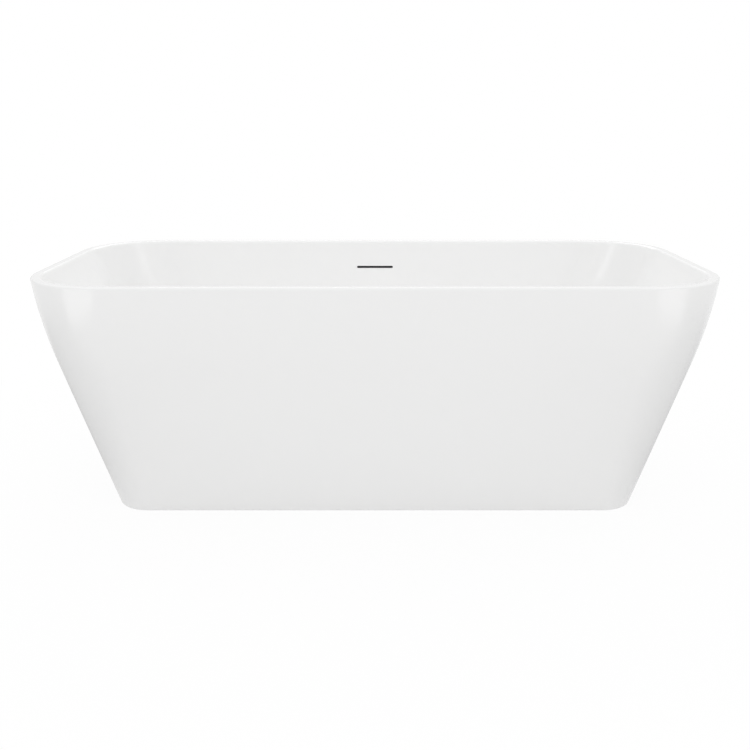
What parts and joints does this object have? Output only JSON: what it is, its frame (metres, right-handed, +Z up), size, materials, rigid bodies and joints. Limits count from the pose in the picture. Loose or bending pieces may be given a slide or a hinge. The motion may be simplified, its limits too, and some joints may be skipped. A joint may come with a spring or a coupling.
{
  "type": "freestanding bathtub",
  "caption": "Freestanding bathtub, a rounded rectangle widening from foot to thin rim, with a slot overflow, push drain stopper and levelling feet.",
  "frame": {"origin": "middle of the tub's footprint, on the floor", "axes": "+X along the tub, +Y towards the wall with the overflow slot, +Z up"},
  "size_m": [1.6746, 0.7862, 0.59],
  "materials": {
    "acrylic": "gloss",
    "black_plastic": "satin",
    "rubber": "matte",
    "hose_plastic": "satin",
    "stainless": "brushed",
    "chrome": "polished",
    "brass": "turned",
    "white_pvc": "satin",
    "plywood": "raw",
    "galvanised_steel": "galvanised",
    "zinc_steel": "zinc plated"
  },
  "bodies": {
    "tub": {"inner_basin": "acrylic", "outer_skirt": "acrylic", "overflow_box": "black_plastic", "overflow_gasket": "rubber", "overflow_hose": "hose_plastic", "hose_clamps": "stainless", "drain_flange": "chrome", "drain_seal": "rubber", "drain_washer": "rubber", "drain_locknut": "brass", "push_cartridge": "black_plastic", "drain_tee": "white_pvc", "drain_tailpiece": "white_pvc", "tailpiece_slip_nut": "white_pvc", "base_board": "plywood", "front_rail": "galvanised_steel", "rear_rail": "galvanised_steel", "left_cross_member": "galvanised_steel", "right_cross_member": "galvanised_steel", "rail_screws": "zinc_steel", "front_batten": "plywood", "rear_batten": "plywood", "front_straps": "galvanised_steel", "rear_straps": "galvanised_steel", "strap_screws": "zinc_steel", "foot_plates": "galvanised_steel", "foot_weld_nuts": "zinc_steel", "foot_lock_nuts": "zinc_steel"},
    "stopper": {"stopper_cap": "chrome", "stopper_gasket": "rubber", "stopper_plunger": "brass"},
    "front_left_pad": {"front_left_foot_pad": "black_plastic"},
    "front_left_stud": {"front_left_foot_stud": "zinc_steel"},
    "front_right_pad": {"front_right_foot_pad": "black_plastic"},
    "front_right_stud": {"front_right_foot_stud": "zinc_steel"},
    "rear_left_pad": {"rear_left_foot_pad": "black_plastic"},
    "rear_left_stud": {"rear_left_foot_stud": "zinc_steel"},
    "rear_right_pad": {"rear_right_foot_pad": "black_plastic"},
    "rear_right_stud": {"rear_right_foot_stud": "zinc_steel"}
  },
  "joints": [
    {"name": "stopper_lift", "type": "slide", "parent": "tub", "child": "stopper", "axis": [0, 0, 1], "range_m": [0, 0.008]},
    {"name": "front_left_foot_lift", "type": "slide", "parent": "tub", "child": "front_left_pad", "axis": [0, 0, 1], "range_m": [-0.015, 0.006]},
    {"name": "front_left_foot_turn", "type": "hinge", "parent": "front_left_pad", "child": "front_left_stud", "pos_m": [-0.44, -0.115, 0.05], "axis": [0, 0, 1], "range_deg": [-3086, 1235]},
    {"name": "front_right_foot_lift", "type": "slide", "parent": "tub", "child": "front_right_pad", "axis": [0, 0, 1], "range_m": [-0.015, 0.006]},
    {"name": "front_right_foot_turn", "type": "hinge", "parent": "front_right_pad", "child": "front_right_stud", "pos_m": [0.44, -0.115, 0.05], "axis": [0, 0, 1], "range_deg": [-3086, 1235]},
    {"name": "rear_left_foot_lift", "type": "slide", "parent": "tub", "child": "rear_left_pad", "axis": [0, 0, 1], "range_m": [-0.015, 0.006]},
    {"name": "rear_left_foot_turn", "type": "hinge", "parent": "rear_left_pad", "child": "rear_left_stud", "pos_m": [-0.44, 0.115, 0.05], "axis": [0, 0, 1], "range_deg": [-3086, 1235]},
    {"name": "rear_right_foot_lift", "type": "slide", "parent": "tub", "child": "rear_right_pad", "axis": [0, 0, 1], "range_m": [-0.015, 0.006]},
    {"name": "rear_right_foot_turn", "type": "hinge", "parent": "rear_right_pad", "child": "rear_right_stud", "pos_m": [0.44, 0.115, 0.05], "axis": [0, 0, 1], "range_deg": [-3086, 1235]}
  ],
  "couplings": [
    {"joint": "front_left_foot_turn", "follows": "front_left_foot_lift", "rad_per_m": 3590.4},
    {"joint": "front_right_foot_turn", "follows": "front_right_foot_lift", "rad_per_m": 3590.4},
    {"joint": "rear_left_foot_turn", "follows": "rear_left_foot_lift", "rad_per_m": 3590.4},
    {"joint": "rear_right_foot_turn", "follows": "rear_right_foot_lift", "rad_per_m": 3590.4}
  ]
}
